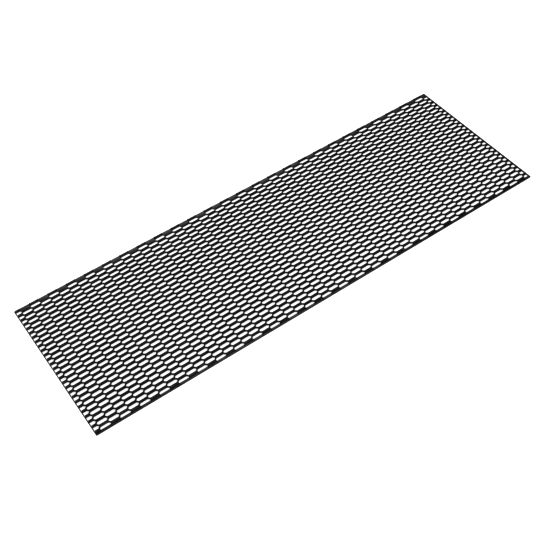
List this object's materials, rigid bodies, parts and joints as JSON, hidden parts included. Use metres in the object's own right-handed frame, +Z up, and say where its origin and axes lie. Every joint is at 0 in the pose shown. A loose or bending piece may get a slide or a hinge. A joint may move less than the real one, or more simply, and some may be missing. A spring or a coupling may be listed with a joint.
{
  "type": "honeycomb expanded mesh panel",
  "caption": "Flat black honeycomb mesh panel of raised expanded metal with long six-sided openings and closed straight edges, for covering a vent, grille or fixture front.",
  "frame": {"origin": "centre of the panel's outline, on the plane that it lies on", "axes": "+X along the length and the long way of the openings, +Y across the width, away from the side that the bonds face, +Z up out of the face"},
  "size_m": [1, 0.33, 0.0053],
  "materials": {
    "strand_paint": "satin black coating on the strands",
    "edge_paint": "satin black coating on the flat edges"
  },
  "bodies": {
    "root": {"near_edge_strip": "edge_paint", "far_edge_strip": "edge_paint", "left_end_strip": "edge_paint", "right_end_strip": "edge_paint", "strand_01": "strand_paint", "strand_02": "strand_paint", "strand_03": "strand_paint", "strand_04": "strand_paint", "strand_05": "strand_paint", "strand_06": "strand_paint", "strand_07": "strand_paint", "strand_08": "strand_paint", "strand_09": "strand_paint", "strand_10": "strand_paint", "strand_11": "strand_paint", "strand_12": "strand_paint", "strand_13": "strand_paint", "strand_14": "strand_paint", "strand_15": "strand_paint", "strand_16": "strand_paint", "strand_17": "strand_paint", "strand_18": "strand_paint", "strand_19": "strand_paint", "strand_20": "strand_paint", "strand_21": "strand_paint", "strand_22": "strand_paint", "strand_23": "strand_paint", "strand_24": "strand_paint", "strand_25": "strand_paint", "strand_26": "strand_paint", "strand_27": "strand_paint", "strand_28": "strand_paint", "strand_29": "strand_paint", "strand_30": "strand_paint", "strand_31": "strand_paint", "strand_32": "strand_paint", "strand_33": "strand_paint", "strand_34": "strand_paint", "strand_35": "strand_paint", "strand_36": "strand_paint", "strand_37": "strand_paint", "strand_38": "strand_paint", "strand_39": "strand_paint", "strand_40": "strand_paint", "strand_41": "strand_paint", "strand_42": "strand_paint", "strand_43": "strand_paint", "strand_44": "strand_paint", "strand_45": "strand_paint", "strand_46": "strand_paint", "strand_47": "strand_paint", "strand_48": "strand_paint", "strand_49": "strand_paint", "strand_50": "strand_paint", "strand_51": "strand_paint"}
  },
  "joints": []
}
